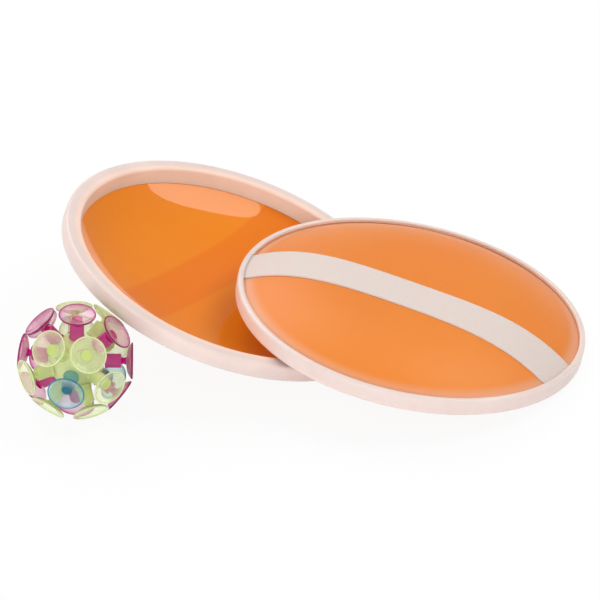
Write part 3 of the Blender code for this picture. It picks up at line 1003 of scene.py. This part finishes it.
@dataclass
class SuctionBall:
    """Ball of soft suction cups that stand on a round core.

    The first colours are those of the cups that the photograph shows, in the order of the nodes.
    The hidden colours repeat for the rest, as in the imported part.
    """

    core_radius: float = 14.5
    cup_radius: float = 9.7
    rim_reach: float = 29.4
    rim_round: float = 0.32
    hollow: float = 2.4
    skin: float = 1.1
    neck_radius: float = 1.7
    neck_length: float = 2.5
    block_radius: float = 3.7
    socket_radius: float = 2.8
    foot_radius: float = 4.2
    fillet: float = 0.7
    flare: float = 1.2
    shoulder_round: float = 0.6
    socket_round: float = 1.0
    body_gap: float = 0.03
    root_step: float = 0.1
    fit: float = 0.3
    steps: int = 64
    colours: tuple[RubberColour, ...] = (
        (RubberColour.LIME,) * 2 + (RubberColour.TURQUOISE,) + (RubberColour.MAGENTA,) * 5
        + (RubberColour.LIME,) * 6 + (RubberColour.MAGENTA,) * 3
    )
    hidden_colours: tuple[RubberColour, ...] = (
        RubberColour.LIME, RubberColour.MAGENTA, RubberColour.TURQUOISE,
    )
    centre: np.ndarray = field(init=False)

    def __post_init__(self) -> None:
        """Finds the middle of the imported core's box, in millimetres."""
        low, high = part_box("ball_core")
        self.centre = (np.array(low) + np.array(high)) * 0.5 / MM

    @property
    def root(self) -> float:
        """Radius of the neck's flare where it meets the cup."""
        return self.neck_radius + self.flare

    def skin_depth(self, r: np.ndarray, most: float, power: float) -> np.ndarray:
        """Depth of colour of the skin: clearest over the neck, then most times (r / rim)^power."""
        return np.where(r <= self.root, CLEAREST, most * (r / self.cup_radius) ** power)

    def cup_outline(self) -> np.ndarray:
        """Outline of one cup, from the bottom of its hollow over the lip to its back.

        The hollow rises as (r / rim) to the power 2.3 and the cup's back as its cube.

        Returns:
            Points (r, z) measured out from the ball's centre, and the depth of colour of each.
        """
        floor = self.rim_reach - self.hollow
        rim = self.cup_radius
        lip_round = self.rim_round
        step = [self.root, self.root + self.root_step]
        inner_r = np.sort(np.append(np.linspace(0.0, rim - 2.0 * lip_round, 16), step))
        inner_z = floor + self.hollow * (inner_r / (rim - lip_round)) ** 2.3
        lip = rounded((rim - lip_round, self.rim_reach - lip_round), lip_round, 130.0, -60.0, 8)
        outer_r = np.sort(np.append(np.linspace(0.0, rim - 0.7 * lip_round, 20), step))[::-1]
        rise = self.hollow + self.skin - 2.0 * lip_round
        outer_z = floor - self.skin + rise * (outer_r / rim) ** 3.0
        return np.vstack([
            np.stack([inner_r, inner_z, self.skin_depth(inner_r, 0.3, 6.0)], -1),
            np.column_stack([lip, np.full(len(lip), 0.95)]),
            np.stack([outer_r, outer_z, self.skin_depth(outer_r, 0.38, 7.0)], -1),
        ])

    def stem_outline(self) -> np.ndarray:
        """Outline of one stem: a waisted neck, and a block that is an open tube at its foot.

        The neck joins the cup and the block's round shoulder with round fillets.

        Returns:
            Points (r, z) measured out from the ball's centre, and the depth of colour of each.
        """
        top = self.rim_reach - self.hollow - self.skin - self.body_gap
        foot = top - self.neck_length
        waist = self.neck_radius + self.fillet
        root = rounded((self.root, top - self.flare), self.flare, 90.0, 180.0, 8)
        heel = rounded((waist, foot + self.fillet), self.fillet, 180.0, 262.0, 5)
        bend = self.shoulder_round
        shoulder = rounded((self.block_radius - bend, foot - bend), bend, 80.0, 0.0, 6)
        start = self.core_radius + self.fit
        # Down the block's side, round its foot and up inside the socket.
        side = np.array([
            [self.block_radius, start + 4.0], [self.block_radius, start + 1.6],
            [self.foot_radius, start + 0.5], [self.foot_radius, start],
            [self.socket_radius, start], [self.socket_radius, start + 3.0],
        ])
        bend = self.socket_round
        end = rounded((self.socket_radius - bend, foot - 2.4), bend, 0.0, 90.0, 6)
        parts = [
            (np.array([[0.0, top]]), NECK_DEPTH), (root, NECK_DEPTH), (heel, NECK_DEPTH),
            (shoulder, 0.5), (side, np.array([0.42, 0.36, 0.5, 0.5, 0.3, 0.3])), (end, 0.4),
            (np.array([[0.0, foot - 1.4]]), NECK_DEPTH),
        ]
        return np.vstack([
            np.column_stack([points, depth * np.ones(len(points))]) for points, depth in parts
        ])

    def sucker_place(self, node: str) -> Placement:
        """Frame of one sucker: it is turned, so the mean of its packed corners lies on its axis.

        Args:
            node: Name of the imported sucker.

        Returns:
            Frame at the ball's middle whose z runs out along the sucker.
        """
        axis = own_corners(node).mean(0) - self.centre
        axis /= np.linalg.norm(axis)
        side = np.cross(axis, np.eye(3)[int(np.abs(axis).argmin())])
        side /= np.linalg.norm(side)
        return Placement(self.centre, np.stack([side, np.cross(axis, side), axis], -1))

    def core_mesh(self) -> bpy.types.Mesh:
        """Turns the core's outline, a half circle with its radius R: (R sin t, R cos t).

        Returns:
            The closed core.
        """
        t = np.linspace(0.0, math.pi, 41)
        depth = np.full(len(t), NECK_DEPTH)
        outline = np.stack([self.core_radius * np.sin(t), self.core_radius * np.cos(t), depth], -1)
        return turned_mesh("ball_heart", [outline], 80, Placement(self.centre, np.eye(3)))

    def build(self, vinyl: dict[RubberColour, bpy.types.Material]) -> None:
        """Makes the core and every sucker.

        Args:
            vinyl: Colour to material.
        """
        show(self.core_mesh(), "ball_core", [vinyl[RubberColour.HEART]])
        outlines = [self.cup_outline(), self.stem_outline()]
        nodes = sorted(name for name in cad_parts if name.startswith("ball_sucker_"))
        for node, colour in zip(nodes, self.colours + self.hidden_colours * len(nodes)):
            name = node.replace("ball_sucker", "cup")
            mesh = turned_mesh(name, outlines, self.steps, self.sucker_place(node))
            show(mesh, node, [vinyl[colour]])


# ---------------------------------------------------------------- studio


@dataclass(frozen=True)
class Lamp:
    """Round soft lamp that faces the middle of the set: its place and diameter in metres."""

    name: str
    place: tuple[float, float, float]
    size: float
    watts: float

    def build(self) -> None:
        """Hangs the lamp."""
        data = bpy.data.lights.new(self.name, "AREA")
        data.shape = "DISK"
        data.size = self.size
        data.energy = self.watts
        item = add_object(self.name, data)
        item.location = self.place
        item.rotation_euler = Vector(self.place).to_track_quat("Z", "Y").to_euler()


@dataclass
class Studio:
    """Plain pale studio: floor, soft lamps, pale surroundings and the camera.

    Angles are degrees, the floor is in metres, and the camera's distance and target are
    millimetres.
    """

    elevation: float = 31.037
    azimuth: float = -0.839
    lens: float = 215.51
    distance: float = 1961.08
    target: tuple[float, float, float] = (-4.209, 19.723, 9.957)
    sensor_mm: float = 36.0
    floor_size: float = 12.0
    floor_gap_mm: float = 0.2
    floor_white: float = 0.92
    surround: float = 0.58
    ceiling: float = 0.22
    lamps: tuple[Lamp, ...] = (
        Lamp("octabox", (0.72, 0.16, 1.05), 0.82, 4.8),
        Lamp("window", (-0.58, 1.0, 1.1), 1.15, 9.0),
        Lamp("fill", (-0.7, -1.85, 0.6), 1.4, 17.0),
    )

    def camera(self) -> None:
        """Places the camera: the target less the distance along the line of sight."""
        e, a = math.radians(self.elevation), math.radians(self.azimuth)
        sight = np.array([math.sin(a) * math.cos(e), math.cos(a) * math.cos(e), -math.sin(e)])
        eye = (np.array(self.target) - self.distance * sight) * MM
        data = bpy.data.cameras.new("camera")
        data.lens = self.lens
        data.sensor_width = self.sensor_mm
        data.clip_start = 0.05
        data.clip_end = 50.0
        item = add_object("camera", data)
        item.location = eye
        item.rotation_euler = (math.pi / 2.0 - e, 0.0, -a)
        bpy.context.scene.camera = item

    def floor(self) -> None:
        """Lays the floor just below the part.

        The camera, gloss and light that has passed through a piece see it mostly as plain white,
        with a weak shadow from the share that is real paper.
        """
        half = self.floor_size / 2.0
        low = -self.floor_gap_mm * MM
        corners = np.array([
            [-half, -half, low], [half, -half, low], [half, half, low], [-half, half, low],
        ])
        mesh = bpy.data.meshes.new("floor")
        mesh.from_pydata(corners.tolist(), [], [(0, 1, 2, 3)])
        material, tree = new_material("white_paper")
        path = add_node(tree, "ShaderNodeLightPath")
        seen = combine(tree, "MAXIMUM", (path, "Is Camera Ray"), (path, "Is Glossy Ray"))
        shown = combine(tree, "MAXIMUM", seen, (path, "Is Transmission Ray"))
        share = combine(tree, "MULTIPLY", shown, self.floor_white)
        paper = add_node(tree, "ShaderNodeBsdfDiffuse", values={"Color": linear("#F4F4F4")})
        glow = add_node(tree, "ShaderNodeEmission", values={"Color": WHITE, "Strength": 1.0})
        mixed = add_node(
            tree, "ShaderNodeMixShader", links={0: share, 1: (paper, 0), 2: (glow, 0)}
        )
        end_material(tree, mixed)
        mesh.materials.append(material)
        add_object("floor", mesh)

    def surroundings(self) -> None:
        """Gives the world a soft even light, and white for the camera.

        Light that has passed through a piece sees plain white too. Gloss sees a white sweep up
        to 6 degrees over the floor, which ends in the ceiling's level at 8 degrees.
        """
        world = bpy.data.worlds.new("studio")
        world.use_nodes = True
        tree = world.node_tree
        tree.nodes.clear()
        path = add_node(tree, "ShaderNodeLightPath")
        place = add_node(tree, "ShaderNodeTexCoord")
        height = add_node(tree, "ShaderNodeSeparateXYZ", links={"Vector": (place, "Generated")})
        sweep = remap(
            tree, (height, "Z"), (0.10, 0.14), (1.0, self.ceiling),
            interpolation_type="SMOOTHSTEP",
        )
        seen = combine(tree, "MAXIMUM", (path, "Is Camera Ray"), (path, "Is Transmission Ray"))
        gloss = combine(tree, "MULTIPLY", (sweep, "Result"), (path, "Is Glossy Ray"))
        shown = combine(tree, "MAXIMUM", seen, gloss)
        even = combine(tree, "MULTIPLY", (path, "Is Diffuse Ray"), self.surround)
        level = combine(tree, "MAXIMUM", shown, even)
        backdrop = add_node(
            tree, "ShaderNodeBackground", values={"Color": WHITE}, links={"Strength": level}
        )
        add_node(tree, "ShaderNodeOutputWorld", links={"Surface": (backdrop, 0)})
        bpy.context.scene.world = world

    def build(self) -> None:
        """Makes the floor, the light and the camera, and sets the plain colour view."""
        bpy.context.scene.view_settings.view_transform = "Standard"
        self.camera()
        self.floor()
        self.surroundings()
        for lamp in self.lamps:
            lamp.build()


def main() -> None:
    """Builds the set and its studio."""
    logging.basicConfig(level=logging.INFO, format="%(message)s")
    disc_finishes = {
        "ring": FrostedPolypropylene().material(),
        "catch": OrangeStyrene(
            SheetSide.CATCH, "#FF9612", "#FF900C", roughness=0.34, passes=0.15,
            # strap_shade_depth sets the painted shade of the webbing seen through the sheet.
            coat=1.0, coat_roughness=0.03, strap_shade_depth=0.8,
        ).material(),
        "back": OrangeStyrene(
            SheetSide.BACK, "#F8922A", "#F88C24", roughness=0.50, passes=0.20,
            # edge_haze_depth sets the painted haze at the back's edge.
            coat=0.7, coat_roughness=0.48, edge_haze_depth=0.5,
        ).material(),
        "strap": WovenElastic().material(),
    }
    for prefix in ("left", "right"):
        CatchDisc(prefix).build(disc_finishes)
    soft = [
        SoftVinyl(RubberColour.LIME, thin_passes=0.94, tint_per_metre=220.0),
        SoftVinyl(RubberColour.MAGENTA, tint_per_metre=250.0),
        SoftVinyl(RubberColour.TURQUOISE),
        SoftVinyl(
            RubberColour.HEART, thin_passes=0.45, thick_passes=0.45, roughness=0.45,
            gloss=0.0, tint_per_metre=20.0,
        ),
    ]
    SuctionBall().build({finish.colour: finish.material() for finish in soft})
    Studio().build()


if __name__ == "__main__":
    main()
